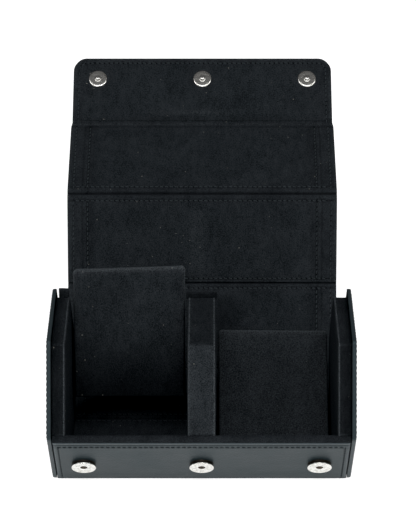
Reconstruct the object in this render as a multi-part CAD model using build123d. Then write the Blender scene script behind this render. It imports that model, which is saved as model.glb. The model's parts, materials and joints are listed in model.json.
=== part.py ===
from build123d import *
import os
from math import cos, radians, sin, sqrt, tan

# A hexagonal travel roll for two watches or bracelets, standing open.
# The hexagon's outline lies in the YZ plane and the roll's length runs along X.
# The origin is the middle of the underside of the floor, on the table.
# +Y points to the back, where the lid unrolls, and +Z points up. Millimetres.

# Driving dimensions
SIDE = 55.0                  # side of the outer hexagon
LENGTH = 172.0               # over both end caps
END_BOARD = 1.5              # stiffener in an end cap
END_LEATHER = 0.8            # leather around that stiffener
TIP_RADIUS = 2.5             # rounding of an end cap's corners
LEATHER = 1.0                # outer leather of the wrap
BOARD = 2.2                  # stiffener of a wrap panel
LINING = 0.8                 # suede lining of the wrap
FLAP_BOARD = 1.2             # the snap flap has a thinner stiffener
SIDE_PLAY = 0.4              # between the wrap and an end cap
FLAP_STEP = 0.6              # the snap flap is narrower by this on each side
FOLD_GAP = 0.25              # leather stops this short of a fold's axis
FOLD_BAND = 4.5              # the stiffener stops this short of a fold's axis
FOLD_ANGLE = 60.0            # turn of the wrap at each fold when it is closed
MITRE = 31.0                 # end cut of a panel at a moving fold
WALL_DROP = 5.1              # the front wall's rim lies this far below the fold corner
BLOCK_WIDTH = 8.0            # foam block inside each end cap
DIVIDER_WIDTH = 16.0         # foam divider in the middle
LID_CLEARANCE = 0.5          # between the closed lid and the foam blocks
COVER = 0.8                  # suede around the foam and around the pads
PAD_HEIGHT = 78.3
PAD_WIDTH = 66.2
PAD_THICKNESS = 6.0
PAD_CORNER = 3.0

# Lid panels, from the floor's back edge: length, and rest angle above the table
BACK_LOWER = (55.0, 0.0)
BACK_UPPER = (55.0, 60.0)
TOP_PANEL = (55.0, 67.0)
FRONT_UPPER = (58.0, 18.5)
SNAP_FLAP = (48.0, 36.5)
FLAP_CORNER = 9.0

# Magnetic snaps
SNAP_PITCH = 67.0
SOCKET_DROP = 34.6           # from the fold corner down the front wall
STUD_REACH = 33.0            # from the last fold along the snap flap
SOCKET_RADIUS = 7.0
SOCKET_HEIGHT = 2.6
SOCKET_SHELL = 0.5
SOCKET_HOLE = 2.9
WASHER_RADIUS = 6.5
WASHER = 0.4
RIVET_RADIUS = 1.2
STUD_RADIUS = 5.85
STUD_DISC = 0.6
NUB_RADIUS = 1.6
NUB_HEIGHT = 1.6

# Derived dimensions
WRAP = LEATHER + BOARD + LINING
FLAP_WRAP = LEATHER + FLAP_BOARD + LINING
END_CAP = END_BOARD + END_LEATHER
INNER_X = LENGTH / 2 - END_CAP
WRAP_HALF = INNER_X - SIDE_PLAY
FLAP_HALF = WRAP_HALF - FLAP_STEP
APOTHEM = SIDE * sqrt(3) / 2
BLOCK_X = INNER_X - BLOCK_WIDTH
SEAT_X = (BLOCK_X + DIVIDER_WIDTH / 2) / 2


def heading(angle):
    """Unit direction in the YZ plane, as (y, z)."""
    return cos(radians(angle)), sin(radians(angle))


def step(point, angle, distance):
    """The (y, z) point at a distance from another one."""
    dy, dz = heading(angle)
    return point[0] + distance * dy, point[1] + distance * dz


def panel_plane(point, angle):
    """Local frame of a panel: X across, Y along the panel, Z from the leather towards the lining."""
    ny, nz = heading(angle + 90)
    return Plane(origin=(0, *point), x_dir=(1, 0, 0), z_dir=(0, ny, nz))


def prism(outline, low_x, high_x):
    """A solid with the given (y, z) outline between two X positions."""
    face = Plane.YZ * make_face(Polyline(*outline, close=True))
    return Pos(low_x, 0, 0) * extrude(face, amount=high_x - low_x, dir=(1, 0, 0))


def layer(length, low, high, half, start, end):
    """One layer of a panel between two depths. start and end are (gap at the leather, cut angle)."""
    outline = [
        (start[0] + low * tan(radians(start[1])), low),
        (length - end[0] - low * tan(radians(end[1])), low),
        (length - end[0] - high * tan(radians(end[1])), high),
        (start[0] + high * tan(radians(start[1])), high),
    ]
    return prism(outline, -half, half)


def round_tip(solid, radius):
    """Rounds the two far corners of a layer, seen from above."""
    uprights = solid.edges().filter_by(Axis.Z).sort_by(Axis.Y)
    return fillet(uprights[-2:], radius)


def hexagon(insets):
    """The (y, z) corners of the hexagon whose six sides are moved inwards, in the order
    floor, back lower, back upper, top, front upper, front wall."""
    lines = []
    for number, inset in enumerate(insets):
        normal = -90 + 60 * number
        lines.append((*heading(normal), APOTHEM - inset))
    corners = []
    for number in range(6):
        ay, az, a = lines[number - 1]
        by, bz, b = lines[number]
        turn = ay * bz - az * by
        corners.append(((a * bz - b * az) / turn, APOTHEM + (b * ay - a * by) / turn))
    return corners


def write(solid, node):
    """Writes a node's solids to its own STEP file."""
    solid.label = node
    export_step(solid, os.path.join("parts", node + ".step"))


def group(solids):
    """Several separate solids as one node."""
    return Compound(children=[piece for solid in solids for piece in solid.solids()])


# Fold corners of the hexagon, as (y, z)
FLOOR_FRONT = (-SIDE / 2, 0.0)
FLOOR_BACK = (SIDE / 2, 0.0)
WALL_TOP = step((-SIDE, APOTHEM), -60, WALL_DROP)

HINGES = [FLOOR_BACK]
for panel_length, panel_angle in (BACK_LOWER, BACK_UPPER, TOP_PANEL, FRONT_UPPER):
    HINGES.append(step(HINGES[-1], panel_angle, panel_length))


def end_cap(side):
    """The stiffener of an end cap and the leather tray that holds it."""
    outer = side * LENGTH / 2
    inner = side * INNER_X
    skin = side * (LENGTH / 2 - END_LEATHER)
    low, high = sorted((inner, outer))
    plate = prism(hexagon([0] * 6), low, high)
    plate = fillet(plate.edges().filter_by(Axis.X), TIP_RADIUS)
    low, high = sorted((inner, skin))
    board = prism(hexagon([END_LEATHER] * 6), low, high)
    board = fillet(board.edges().filter_by(Axis.X), TIP_RADIUS - END_LEATHER)
    return board, plate - board


FOAM_INSETS = [WRAP, *[WRAP + LID_CLEARANCE] * 4, WRAP]
CORE_INSETS = [WRAP, *[WRAP + LID_CLEARANCE + COVER] * 4, WRAP + COVER]


def end_block(side):
    """The foam block glued to an end cap, and its suede cover."""
    low, high = sorted((side * INNER_X, side * BLOCK_X))
    block = prism(hexagon(FOAM_INSETS), low, high)
    low, high = sorted((side * INNER_X, side * (BLOCK_X + COVER)))
    core = prism(hexagon(CORE_INSETS), low, high)
    return core, block - core


def divider():
    """The foam divider glued to the floor, and its suede cover."""
    half = DIVIDER_WIDTH / 2
    block = prism(hexagon(FOAM_INSETS), -half, half)
    core = prism(hexagon(CORE_INSETS), -half + COVER, half - COVER)
    return core, block - core


def wrap_layers(plane, length, half, stiffener, start, end):
    """Leather, stiffener and lining of one panel, placed in the model's frame."""
    total = LEATHER + stiffener + LINING
    leather = layer(length, 0, LEATHER, half, start, end)
    lining = layer(length, total - LINING, total, half, start, end)
    board_start = (FOLD_BAND if start[1] else LEATHER, 0)
    board_end = (FOLD_BAND if end[1] else LEATHER, 0)
    board = layer(length, LEATHER, total - LINING, half - LEATHER, board_start, board_end)
    return [plane.location * piece for piece in (leather, board, lining)]


def snap_places(reach, plane):
    """The three snap positions on a panel, as frames on its leather face."""
    return [plane.location * Pos(x, reach, 0) for x in (-SNAP_PITCH, 0, SNAP_PITCH)]


def disc(radius, low, high):
    """A cylinder on the local Z axis between two heights."""
    return Pos(0, 0, (low + high) / 2) * Cylinder(radius, high - low)


def socket_parts():
    """Shell, magnet and backing washer of a socket. The wall's leather is at Z 0 to LEATHER."""
    top = -SOCKET_HEIGHT
    shell = disc(SOCKET_RADIUS, top, 0)
    shell = fillet(shell.faces().sort_by(Axis.Z)[0].edges(), SOCKET_SHELL)
    cavity = disc(SOCKET_RADIUS - SOCKET_SHELL, top + SOCKET_SHELL, -SOCKET_SHELL)
    shell -= cavity
    shell -= disc(SOCKET_HOLE, top, -SOCKET_SHELL)
    magnet = cavity - disc(SOCKET_HOLE, top, 0)
    shell += disc(RIVET_RADIUS, -SOCKET_SHELL, LEATHER)
    washer = disc(WASHER_RADIUS, LEATHER, LEATHER + WASHER)
    return shell, magnet, washer


def stud_parts():
    """Disc with its nub, and the backing washer. The flap's lining ends at Z FLAP_WRAP."""
    face = FLAP_WRAP
    button = disc(STUD_RADIUS, face, face + STUD_DISC)
    button = fillet(button.faces().sort_by(Axis.Z)[-1].edges(), STUD_DISC / 2)
    nub = disc(NUB_RADIUS, face + STUD_DISC, face + STUD_DISC + NUB_HEIGHT)
    nub = fillet(nub.faces().sort_by(Axis.Z)[-1].edges(), NUB_RADIUS / 2)
    rivet = disc(RIVET_RADIUS, face - LINING, face)
    washer = disc(STUD_RADIUS, face - LINING - WASHER, face - LINING)
    return button + nub + rivet, washer


def front_wall():
    """The fixed front wall, from its rim down to the floor, with its three sockets."""
    plane = panel_plane(WALL_TOP, -60)
    length = SIDE - WALL_DROP
    layers = wrap_layers(plane, length, WRAP_HALF, BOARD, (0, 0), (0, FOLD_ANGLE / 2))
    leather, board, lining = layers
    shells, magnets, washers = [], [], []
    for place in snap_places(SOCKET_DROP - WALL_DROP, plane):
        shell, magnet, washer = (place * piece for piece in socket_parts())
        leather -= place * disc(RIVET_RADIUS, 0, LEATHER)
        board -= washer
        shells.append(shell)
        magnets.append(magnet)
        washers.append(washer)
    return leather, board, lining, group(shells), group(magnets), group(washers)


def floor():
    """The floor panel between the fixed fold in front and the lid's first fold."""
    plane = panel_plane(FLOOR_FRONT, 0)
    return wrap_layers(plane, SIDE, WRAP_HALF, BOARD, (0, FOLD_ANGLE / 2), (FOLD_GAP, MITRE))


def lid_panel(number, panel):
    """A lid panel between two moving folds."""
    plane = panel_plane(HINGES[number], panel[1])
    cut = (FOLD_GAP, MITRE)
    return wrap_layers(plane, panel[0], WRAP_HALF, BOARD, cut, cut)


def snap_flap():
    """The last lid panel, with rounded free corners and three studs."""
    plane = panel_plane(HINGES[4], SNAP_FLAP[1])
    length = SNAP_FLAP[0]
    local = wrap_layers(Plane.XY, length, FLAP_HALF, FLAP_BOARD, (FOLD_GAP, MITRE), (0, 0))
    radii = (FLAP_CORNER, FLAP_CORNER - LEATHER, FLAP_CORNER)
    rounded = [round_tip(piece, radius) for piece, radius in zip(local, radii)]
    leather, board, lining = (plane.location * piece for piece in rounded)
    buttons, washers = [], []
    for place in snap_places(STUD_REACH, plane):
        button, washer = (place * piece for piece in stud_parts())
        lining -= place * disc(RIVET_RADIUS, FLAP_WRAP - LINING, FLAP_WRAP)
        board -= washer
        buttons.append(button)
        washers.append(washer)
    return leather, board, lining, group(buttons), group(washers)


# Each pad's bottom front edge as (y, z), and its lean above the table.
# The left pad is drawn out along its own plane, and the right one is home on the floor.
LEFT_PAD = ((2.7, 34.4), 70.0)
RIGHT_PAD = ((-18.6, 8.8), 38.8)


def pad(seat, side):
    """A slab that leans back between a block and the divider, and its suede cover."""
    point, lean = seat
    plane = panel_plane(point, lean)
    half = PAD_WIDTH / 2
    slab = Pos(0, PAD_HEIGHT / 2, -PAD_THICKNESS / 2) * Box(PAD_WIDTH, PAD_HEIGHT, PAD_THICKNESS)
    slab = fillet(slab.edges().filter_by(Axis.Z).sort_by(Axis.Y)[-2:], PAD_CORNER)
    inner = half - COVER
    depth = PAD_THICKNESS - 2 * COVER
    height = PAD_HEIGHT - COVER
    core = Pos(0, height / 2, -PAD_THICKNESS / 2) * Box(2 * inner, height, depth)
    core = fillet(core.edges().filter_by(Axis.Z).sort_by(Axis.Y)[-2:], PAD_CORNER - COVER)
    place = Pos(side * SEAT_X, 0, 0) * plane.location
    return place * core, place * (slab - core)


def build():
    """Writes every node."""
    os.makedirs("parts", exist_ok=True)
    for side, name in ((-1, "left"), (1, "right")):
        board, leather = end_cap(side)
        write(board, f"end_board_{name}")
        write(leather, f"end_leather_{name}")
        core, cover = end_block(side)
        write(core, f"end_block_core_{name}")
        write(cover, f"end_block_cover_{name}")
    core, cover = divider()
    write(core, "divider_core")
    write(cover, "divider_cover")

    leather, board, lining, shells, magnets, washers = front_wall()
    write(leather, "front_wall_leather")
    write(board, "front_wall_board")
    write(lining, "front_wall_lining")
    write(shells, "snap_socket_shells")
    write(magnets, "snap_magnets")
    write(washers, "snap_socket_washers")

    panels = [("floor", floor())]
    for number, name, panel in (
        (0, "back_lower", BACK_LOWER),
        (1, "back_upper", BACK_UPPER),
        (2, "top_panel", TOP_PANEL),
        (3, "front_upper", FRONT_UPPER),
    ):
        panels.append((name, lid_panel(number, panel)))
    leather, board, lining, buttons, washers = snap_flap()
    panels.append(("snap_flap", (leather, board, lining)))
    for name, pieces in panels:
        for piece, kind in zip(pieces, ("leather", "board", "lining")):
            write(piece, f"{name}_{kind}")
    write(buttons, "snap_studs")
    write(washers, "snap_stud_washers")

    for name, seat, side in (("left", LEFT_PAD, -1), ("right", RIGHT_PAD, 1)):
        core, cover = pad(seat, side)
        write(core, f"pad_core_{name}")
        write(cover, f"pad_cover_{name}")


build()
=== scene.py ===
import json
from math import cos, hypot, pi, radians, sin, sqrt, tan

import bpy
import numpy as np
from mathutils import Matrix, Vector, noise


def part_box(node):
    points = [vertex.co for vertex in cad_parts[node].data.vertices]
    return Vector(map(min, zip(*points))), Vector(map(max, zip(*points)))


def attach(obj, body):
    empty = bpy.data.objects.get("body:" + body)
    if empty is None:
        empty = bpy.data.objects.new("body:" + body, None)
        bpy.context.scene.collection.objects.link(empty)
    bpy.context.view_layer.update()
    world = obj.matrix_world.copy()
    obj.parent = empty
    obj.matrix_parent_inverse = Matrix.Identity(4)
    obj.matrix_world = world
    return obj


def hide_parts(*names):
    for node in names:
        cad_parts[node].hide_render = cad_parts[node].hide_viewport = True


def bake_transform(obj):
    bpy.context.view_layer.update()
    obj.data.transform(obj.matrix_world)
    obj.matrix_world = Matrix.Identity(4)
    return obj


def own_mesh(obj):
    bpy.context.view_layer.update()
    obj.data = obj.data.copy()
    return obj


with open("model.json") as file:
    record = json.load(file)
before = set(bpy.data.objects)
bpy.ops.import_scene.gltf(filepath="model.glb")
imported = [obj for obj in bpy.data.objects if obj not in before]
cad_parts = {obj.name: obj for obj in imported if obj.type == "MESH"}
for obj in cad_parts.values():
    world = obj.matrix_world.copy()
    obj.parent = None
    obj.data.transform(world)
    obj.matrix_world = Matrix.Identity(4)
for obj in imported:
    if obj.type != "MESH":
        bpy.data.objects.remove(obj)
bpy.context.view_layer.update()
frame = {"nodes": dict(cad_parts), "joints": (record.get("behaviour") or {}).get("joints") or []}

MM = 0.001

# Sizes in millimetres. Places come from the frame's hinges and node boxes.
SIDE = 55.0  # side of the case's outer hexagon
APOTHEM = SIDE * sqrt(3) / 2
WRAP = 4.0  # leather, stiffener and lining of a wrap panel
FLAP_WRAP = 3.0
LINING = 0.8
LEATHER = 1.0
FOLD_HALF = 2.4  # half the flexible band at a fold
FOLD_DIP = 0.45  # how far the lining has sunk where that band starts
FOLD_SHOULDER = 6.5  # where the lining reaches its full height
FOLD_ROWS = 17  # rows of points across the band
CREASE_HEIGHT = 2.1  # bottom of a fold's crease, above the outer face
CREASE_WIDTH = 0.26  # as a share of the band's half width
FLAP_LENGTH = 48.0
FLAP_LEAN = 36.5
FLAP_CORNER = 9.0
WALL_DROP = 5.1
EDGE_ROUND = 0.7  # rounding of the lining's edges
SKIN_ROUND = 0.9  # rounding of the leather's edges
EDGE_ROW = 2.8  # edge stitching of the case, from the edge
LID_ROW = 3.7  # edge stitching of the lid
INNER_ROW = 12.4  # the lid's second stitching
INDENT = 9.3  # a line indented between the two, darkened by pressing and painted shade
FOLD_ROW = 3.3  # stitching beside a fold
WALL_ROW = 6.0  # stitching below the front wall's rim
WALL_CREASE = 3.0
ROW_DEPTH = 0.2  # how far a stitch row is drawn in
ROW_WIDTH = 0.55
STITCH_PITCH = 3.0
STITCH_LENGTH = 2.2
STITCH_RISE = 0.3
THREAD = 0.3  # thread radius
HOLE_LENGTH = 0.5  # half a needle hole's length, along the row
HOLE_WIDTH = 0.6
BLOCK_WIDTH = 8.0
DIVIDER_WIDTH = 16.0
BLOCK_ROUND = 2.2  # rounding between a block's six faces
LID_CLEARANCE = 0.5
CAP_ROUND = 0.85
PAD_HEIGHT = 78.3
PAD_WIDTH = 66.2
PAD_THICKNESS = 6.0
PAD_CORNER = 3.0
SEAT_X = 41.85
SNAP_PITCH = 67.0
SOCKET_DROP = 34.6
STUD_REACH = 33.0
SEATING = 0.05  # how far a snap is let into its face
ACROSS_STEP = 2.6  # spacing of a panel's points
ALONG_STEP = 2.2
LID = ("back_lower", "back_upper", "top_panel", "front_upper", "snap_flap")


def heading(angle):
    """Unit direction (y, z) at an angle above +Y."""
    return np.array([cos(radians(angle)), sin(radians(angle))])


class Panel:
    """A panel's own frame: x across, s along it from its first fold, h up from its outer face."""

    wrap = WRAP
    fold_first = True
    fold_last = True
    inner_row = 0.0

    def __init__(self, origin, along, length, half):
        self.origin = np.array(origin, float)
        self.along = np.array(along, float)
        self.up = np.array([-along[1], along[0]])
        self.length = length
        self.half = half

    def from_folds(self, s):
        """Distances from each fold that the panel ends in."""
        return [s] * self.fold_first + [self.length - s] * self.fold_last

    def at(self, x, s, h):
        """Points in metres from arrays in millimetres."""
        x, s, h = np.broadcast_arrays(x, s, h)
        y = self.origin[0] + s * self.along[0] + h * self.up[0]
        z = self.origin[1] + s * self.along[1] + h * self.up[1]
        return np.stack([x, y, z], -1) * MM


def half_width(node):
    """Half of a node's width along X, in millimetres."""
    low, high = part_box(node)
    return (high.x - low.x) / 2 / MM


def between(first, second, half):
    """The panel that runs from one (y, z) point to another."""
    run = second - first
    length = hypot(*run)
    return Panel(first, run / length, length, half)


def body_of(name):
    """The body that a wrap panel rides on."""
    return name if name in LID else "case"


HINGES = [np.array(j["pos_m"][1:]) / MM for j in frame["joints"] if j["type"] == "hinge"]
WRAP_HALF = half_width("floor_leather")
FLAP_HALF = half_width("snap_flap_leather")
INNER_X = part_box("end_block_cover_right")[1].x / MM
OUTER_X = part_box("end_leather_right")[1].x / MM
FLOOR_FRONT = np.array([-SIDE / 2, 0.0])
WALL_TOP = np.array([-SIDE, APOTHEM]) + WALL_DROP * heading(-60)
FLOOR = between(FLOOR_FRONT, HINGES[0], WRAP_HALF)
FLAP = Panel(HINGES[4], heading(FLAP_LEAN), FLAP_LENGTH, FLAP_HALF)
FRONT_WALL = Panel(WALL_TOP, heading(-60), SIDE - WALL_DROP, WRAP_HALF)
LEFT_PAD = Panel((2.7, 34.4), heading(70.0), PAD_HEIGHT, PAD_WIDTH / 2)
RIGHT_PAD = Panel((-18.6, 8.8), heading(38.8), PAD_HEIGHT, PAD_WIDTH / 2)
FLOOR.fold_first = False
FLAP.fold_last = False
FLAP.wrap = FLAP_WRAP
PANELS = {"floor": FLOOR}
for number, name in enumerate(LID[:4]):
    PANELS[name] = between(HINGES[number], HINGES[number + 1], WRAP_HALF)
    PANELS[name].inner_row = 1.0
PANELS["snap_flap"] = FLAP


# ---- shapes and marks

def smooth_step(x, low, high):
    """0 below low, 1 above high, smooth between."""
    t = np.clip((x - low) / (high - low), 0, 1)
    return t * t * (3 - 2 * t)


def groove(distance, width):
    """A bell-shaped mark, 1 at distance 0."""
    return np.exp(-(distance / width) ** 2)


def fade(distance, reach):
    """A mark that is 1 at an edge and dies away from it."""
    return np.exp(-distance / reach)


def wobble(points, size, seed):
    """Smooth noise, -1 to 1, at points in metres. size is its grain in millimetres."""
    flat = points.reshape(-1, 3)
    shift = Vector((seed * 3.7, seed * 1.3, seed * 2.1))
    values = [noise.noise(Vector(p) / (size * MM) + shift) for p in flat]
    return np.array(values).reshape(points.shape[:-1])


def round_drop(distance, radius):
    """How far a face falls away near an edge that is rounded to this radius."""
    inside = np.clip(radius - distance, 0, radius)
    return radius - np.sqrt(np.maximum(radius ** 2 - inside ** 2, 0))


def spaced(low, high, step, marks=(), tight=0.45):
    """Positions from low to high about a step apart, closer beside each mark."""
    least = 0.12
    count = max(2, round((high - low) / step) + 1)
    places = list(np.linspace(low, high, count))
    for mark in marks:
        close = [mark + tight * k for k in range(-3, 4)]
        inside = [p for p in close if low < p < high]
        if inside:
            places = [p for p in places if not inside[0] - tight < p < inside[-1] + tight]
            places += inside
    places = sorted(set(places) | {low, high})
    kept = [places[0]]
    for place in places[1:]:
        if place - kept[-1] > least:
            kept.append(place)
    kept[-1] = high
    return np.array(kept)


# ---- mesh helpers

def into_scene(name, data):
    """A new object in the scene."""
    made = bpy.data.objects.new(name, data)
    bpy.context.scene.collection.objects.link(made)
    return made


def new_object(name, verts, faces, material, smooth=True):
    """A mesh object from points in metres."""
    mesh = bpy.data.meshes.new(name)
    mesh.from_pydata([tuple(v) for v in verts], [], [tuple(f) for f in faces])
    mesh.validate()
    mesh.update()
    mesh.polygons.foreach_set("use_smooth", [smooth] * len(mesh.polygons))
    mesh.materials.append(material)
    return into_scene(name, mesh)


def coordinates(mesh):
    """A mesh's points in metres."""
    flat = np.empty(len(mesh.vertices) * 3)
    mesh.vertices.foreach_get("co", flat)
    return flat.reshape(-1, 3)


def normals_of(thing):
    """The direction that each of a piece's points faces."""
    return np.array([v.normal for v in thing.data.vertices])


def move_points(mesh, points):
    """Puts a mesh's points in new places, in metres."""
    mesh.vertices.foreach_set("co", points.ravel())
    mesh.update()


def paint(thing, **marks):
    """Stores marks from 0 to 1 on each vertex: the wear mark lightens a material for abrasion and
    painted light, the press mark darkens it for pressing and painted shade. A closed grid takes one
    value per point of its upper face; its lower face gets the same."""
    for name, values in marks.items():
        flat = np.asarray(values, np.float32).ravel()
        if len(flat) * 2 == len(thing.data.vertices):
            flat = np.concatenate([flat, flat])
        layer = thing.data.attributes.new(name, "FLOAT", "POINT")
        layer.data.foreach_set("value", np.clip(flat, 0, 1))


def paint_evenly(thing, **marks):
    """Stores one value of each named mark on every vertex."""
    count = len(thing.data.vertices)
    paint(thing, **{name: np.full(count, value) for name, value in marks.items()})


def finish(piece, body, slot, *replaced):
    """Puts a piece on its body and hides the CAD parts that it replaces."""
    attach(piece, body)
    if replaced:
        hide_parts(*replaced)


def grid_faces(rows, columns, offset=0, flip=False):
    """Quads of a grid of points stored row by row."""
    faces = []
    for r in range(rows - 1):
        for c in range(columns - 1):
            a = offset + r * columns + c
            quad = (a, a + 1, a + 1 + columns, a + columns)
            faces.append(quad[::-1] if flip else quad)
    return faces


def ring_faces(rings, count, closed=False):
    """Quads between rings of count points, stored ring by ring."""
    faces = []
    for n in range(rings if closed else rings - 1):
        m = (n + 1) % rings
        for k in range(count):
            j = (k + 1) % count
            faces.append((n * count + k, n * count + j, m * count + j, m * count + k))
    return faces


def closed_grid(name, low, high, material):
    """A closed solid between two grids of points of the same shape."""
    rows, columns = high.shape[:2]
    count = rows * columns
    verts = np.concatenate([high.reshape(-1, 3), low.reshape(-1, 3)])
    faces = grid_faces(rows, columns) + grid_faces(rows, columns, count, True)
    rim = list(range(columns))
    rim += [r * columns + columns - 1 for r in range(1, rows)]
    rim += [(rows - 1) * columns + c for c in range(columns - 2, -1, -1)]
    rim += [r * columns for r in range(rows - 2, 0, -1)]
    for a, b in zip(rim, rim[1:] + rim[:1]):
        faces.append((b, a, a + count, b + count))
    return new_object(name, verts, faces, material)


def lathe(name, profile, place, material, segments=48):
    """A solid of revolution. profile holds (radius, height) in millimetres from axis to axis;
    place turns local millimetres into metres."""
    verts, faces, rings = [], [], []
    for radius, height in profile:
        turns = [0.0] if radius == 0 else [2 * pi * k / segments for k in range(segments)]
        rings.append([len(verts) + k for k in range(len(turns))])
        verts += [place(radius * cos(t), radius * sin(t), height) for t in turns]
    for first, second in zip(rings, rings[1:]):
        for k in range(segments):
            m = (k + 1) % segments
            corners = [first[k % len(first)], first[m % len(first)]]
            corners += [second[m % len(second)], second[k % len(second)]]
            face = list(dict.fromkeys(corners))
            if len(face) > 2:
                faces.append(face)
    return new_object(name, verts, faces, material)


def tube(points, radius, sides=6, closed=False):
    """Vertices and faces of a tube along points in metres, pointed at open ends."""
    tip_share = 0.3
    points = np.asarray(points, float)
    count = len(points)
    if closed:
        ahead = np.roll(points, -1, 0) - np.roll(points, 1, 0)
    else:
        ahead = np.gradient(points, axis=0)
    ahead /= np.linalg.norm(ahead, axis=1)[:, None]
    side = np.cross(ahead, [0.31, 0.52, 0.79])
    side /= np.linalg.norm(side, axis=1)[:, None]
    over = np.cross(ahead, side)
    radii = np.full(count, radius)
    if not closed:
        radii[0] = radii[-1] = radius * tip_share
    turn = np.arange(sides) * 2 * pi / sides
    ring = np.cos(turn)[None, :, None] * side[:, None] + np.sin(turn)[None, :, None] * over[:, None]
    verts = (points[:, None] + radii[:, None, None] * ring).reshape(-1, 3)
    faces = ring_faces(count, sides, closed)
    if not closed:
        faces.append(tuple(range(sides))[::-1])
        faces.append(tuple((count - 1) * sides + k for k in range(sides)))
    return verts, faces


def joined(name, parts, material):
    """One object from several (vertices, faces) pairs."""
    verts, faces, offset = [], [], 0
    for part_verts, part_faces in parts:
        verts.append(part_verts)
        faces += [tuple(i + offset for i in f) for f in part_faces]
        offset += len(part_verts)
    return new_object(name, np.concatenate(verts), faces, material)


# ---- materials

class Shader:
    """A material with short ways to add nodes."""

    def __init__(self, name):
        self.material = bpy.data.materials.new(name)
        self.material.use_nodes = True
        self.nodes = self.material.node_tree.nodes
        self.links = self.material.node_tree.links
        self.bsdf = self.nodes["Principled BSDF"]
        self.coords = self.nodes.new("ShaderNodeTexCoord").outputs["Object"]

    def feed(self, socket, value):
        """Gives a socket a number, a colour or another node's output."""
        if isinstance(value, tuple):
            socket.default_value = value if socket.type == "VECTOR" else (*value, 1)
        elif isinstance(value, (int, float)):
            socket.default_value = value
        else:
            self.links.new(value, socket)

    def add(self, kind, **values):
        """A new node with its inputs set or linked."""
        node = self.nodes.new(f"ShaderNode{kind}")
        for name, value in values.items():
            self.feed(node.inputs[name], value)
        return node

    def noise(self, scale, detail=4, rough=0.6, stretch=None):
        """A noise texture. scale is in grains per metre."""
        source = self.coords
        if stretch:
            source = self.add("Mapping", Vector=source, Scale=stretch).outputs["Vector"]
        node = self.add("TexNoise", Vector=source, Scale=scale, Detail=detail, Roughness=rough)
        return node.outputs["Fac"]

    def cells(self, scale):
        """The distance to the nearest of many scattered points. scale is in points per metre."""
        return self.add("TexVoronoi", Vector=self.coords, Scale=scale).outputs["Distance"]

    def ramp(self, source, stops):
        """A colour ramp. stops are (position, grey or colour)."""
        node = self.add("ValToRGB", Fac=source)
        elements = node.color_ramp.elements
        while len(elements) < len(stops):
            elements.new(0.5)
        for element, (position, value) in zip(elements, stops):
            element.position = position
            colour = value if isinstance(value, tuple) else (value, value, value)
            element.color = (*colour, 1)
        return node.outputs["Color"]

    def maths(self, operation, a, b):
        """A maths node on two sources or numbers."""
        node = self.add("Math")
        node.operation = operation
        self.feed(node.inputs[0], a)
        self.feed(node.inputs[1], b)
        return node.outputs["Value"]

    def mix(self, factor, a, b, mode="MIX"):
        """A colour mix of two sources or colours."""
        node = self.add("Mix")
        node.data_type = "RGBA"
        node.blend_type = mode
        self.feed(node.inputs["Factor"], factor)
        self.feed(node.inputs[6], a)
        self.feed(node.inputs[7], b)
        return node.outputs[2]

    def mark(self, name):
        """A mark painted on the vertices."""
        node = self.add("Attribute")
        node.attribute_name = name
        return node.outputs["Fac"]

    def blend_of(self, *parts):
        """A weighted sum of (source, weight) pairs."""
        total = None
        for source, weight in parts:
            part = self.maths("MULTIPLY", source, weight)
            total = part if total is None else self.maths("ADD", total, part)
        return total

    def bump(self, layers):
        """Chained bumps. layers are (source, strength, distance in millimetres)."""
        normal = None
        for source, strength, distance in layers:
            node = self.add("Bump", Height=source, Strength=strength, Distance=distance * MM)
            if normal:
                self.feed(node.inputs["Normal"], normal)
            normal = node.outputs["Normal"]
        self.set(Normal=normal)

    def set(self, **values):
        """Sets or links the shader's own sockets; names have _ for spaces."""
        for name, value in values.items():
            self.feed(self.bsdf.inputs[name.replace("_", " ")], value)


def suede(name, dark, light, worn_and_lit):
    """Napped suede: brushed patches, mottled short fibres, lint, places lightened by abrasion and painted
    light, and places darkened by pressing and painted shade.
    """
    s = Shader(name)
    patches = s.noise(60, 2, 0.5)
    brushed = s.noise(300, 2, 0.5, (1.0, 0.5, 0.5))
    mottle = s.noise(1700, 2, 0.7)
    fibres = s.noise(2800, 2, 0.6)
    tone = s.blend_of((patches, 0.1), (brushed, 0.12), (mottle, 0.5), (fibres, 0.28))
    middle = tuple((a + b) / 2 for a, b in zip(dark, light))
    colour = s.ramp(tone, [(0.43, dark), (0.505, middle), (0.58, light)])
    raised = s.ramp(mottle, [(0.44, 0.3), (0.62, 2.0)])
    # Lightening from the wear mark: abrasion, and painted light where a mark stands in for light.
    lightening = s.maths("MULTIPLY", s.mark("wear"), raised)
    colour = s.mix(lightening, colour, worn_and_lit)
    # Darkening from the press mark: pressing, and painted shade in grooves, creases and shaded faces.
    colour = s.mix(s.maths("MULTIPLY", s.mark("press"), 0.8), colour, (0.0012, 0.0014, 0.0016))
    specks = s.ramp(s.cells(330), [(0.0, 1.0), (0.09, 1.0), (0.11, 0.0)])
    rare = s.ramp(s.noise(420, 1, 0.5), [(0.0, 0.0), (0.645, 0.0), (0.665, 1.0)])
    colour = s.mix(s.maths("MULTIPLY", specks, rare), colour, (0.16, 0.155, 0.14))
    s.set(Base_Color=colour)
    s.set(Roughness=s.ramp(brushed, [(0.3, 0.86), (0.7, 0.98)]))
    s.set(Specular_IOR_Level=0.01, Sheen_Weight=0.012, Sheen_Roughness=0.5, Sheen_Tint=(0.7, 0.85, 1.0))
    s.bump([(patches, 0.25, 0.6), (brushed, 0.3, 0.35), (mottle, 0.6, 0.3), (fibres, 0.5, 0.14)])
    return s.material


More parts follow.
